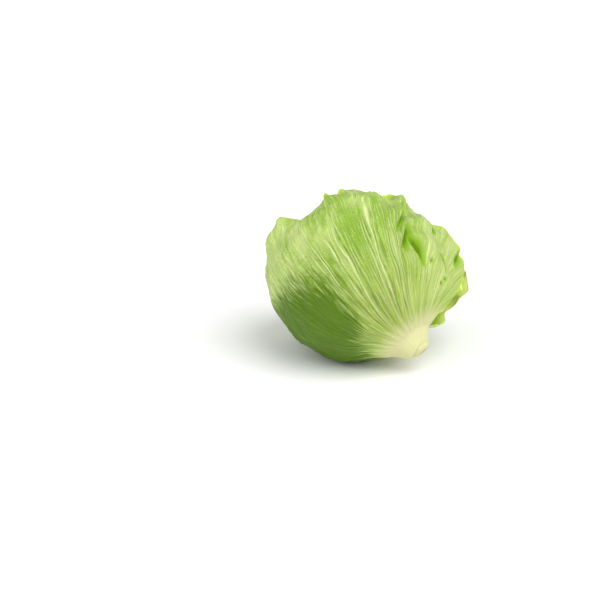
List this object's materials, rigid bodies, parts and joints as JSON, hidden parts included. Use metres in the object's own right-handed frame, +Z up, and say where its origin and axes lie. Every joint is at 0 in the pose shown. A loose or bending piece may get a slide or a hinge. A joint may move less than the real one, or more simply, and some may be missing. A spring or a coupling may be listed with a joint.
{
  "type": "iceberg lettuce",
  "caption": "Whole iceberg lettuce head lying on its side: a cut stem, a dense folded heart and loose, waved wrapper leaves.",
  "frame": {"origin": "middle of the bounding box's bottom face, on the surface that the head lies on", "axes": "+Z up; +X along the longest extent, towards the loose margin of the second leaf; the pictured side faces -Y, and the stem points to +X, -Y and down"},
  "size_m": [0.1859, 0.1654, 0.1511],
  "materials": {
    "wrapper_leaf": "waxy green leaf",
    "heart_leaf": "pale yellow-green leaf",
    "stem_flesh": "cream cut stem flesh"
  },
  "bodies": {
    "root": {"wrapper_leaf_front": "wrapper_leaf", "wrapper_leaf_back": "wrapper_leaf", "wrapper_leaf_right": "wrapper_leaf", "wrapper_leaf_under": "wrapper_leaf", "wrapper_leaf_top": "wrapper_leaf", "folded_heart": "heart_leaf", "cut_stem": "stem_flesh"}
  },
  "joints": []
}
